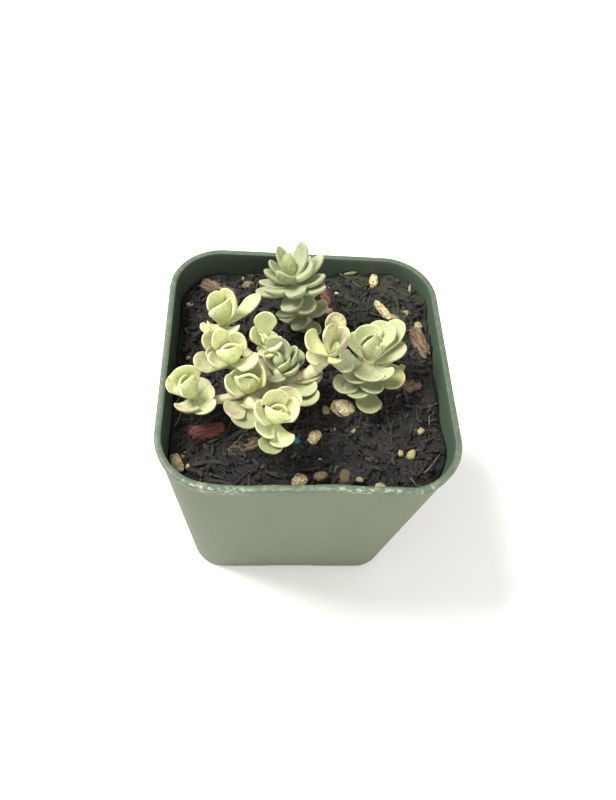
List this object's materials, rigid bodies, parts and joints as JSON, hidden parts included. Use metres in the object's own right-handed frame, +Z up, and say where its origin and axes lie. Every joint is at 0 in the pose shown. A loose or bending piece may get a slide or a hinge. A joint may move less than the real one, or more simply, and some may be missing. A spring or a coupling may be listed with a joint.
{
  "type": "potted sedum",
  "caption": "Small fleshy-leaved stonecrop with rosettes on short stems, in a square green nursery pot filled with bark mix.",
  "frame": {"origin": "middle of the pot on the surface that it stands on", "axes": "+Z up out of the pot, -Y towards the side of the pot that faces the viewer, +X to the viewer's right"},
  "size_m": [0.0634, 0.0634, 0.0811],
  "materials": {
    "pot_plastic": "hazy moulded plastic, scuffed at the rim",
    "mix": "damp peat and bark shreds",
    "brown_bark": "rough bark",
    "red_bark": "rough bark",
    "pumice": "porous grain",
    "young_leaves": "fleshy leaf with a powdery bloom",
    "grey_leaves": "fleshy leaf with a powdery bloom"
  },
  "bodies": {
    "root": {"pot": "pot_plastic", "potting_mix": "mix", "bark_long": "brown_bark", "bark_right": "brown_bark", "bark_front": "brown_bark", "bark_under_right": "brown_bark", "bark_red_left": "red_bark", "bark_red_back": "red_bark", "pumice_large": "pumice", "pumice_middle": "pumice", "pumice_front": "pumice", "pumice_back": "pumice", "pumice_stick": "pumice", "pumice_corner": "pumice", "rosette_front": "young_leaves", "rosette_middle": "young_leaves", "rosette_left": "young_leaves", "rosette_upper": "young_leaves", "rosette_back_left": "young_leaves", "rosette_small": "young_leaves", "rosette_leaning": "young_leaves", "branching_stem": "grey_leaves", "column_back": "grey_leaves", "column_right": "grey_leaves"}
  },
  "joints": []
}
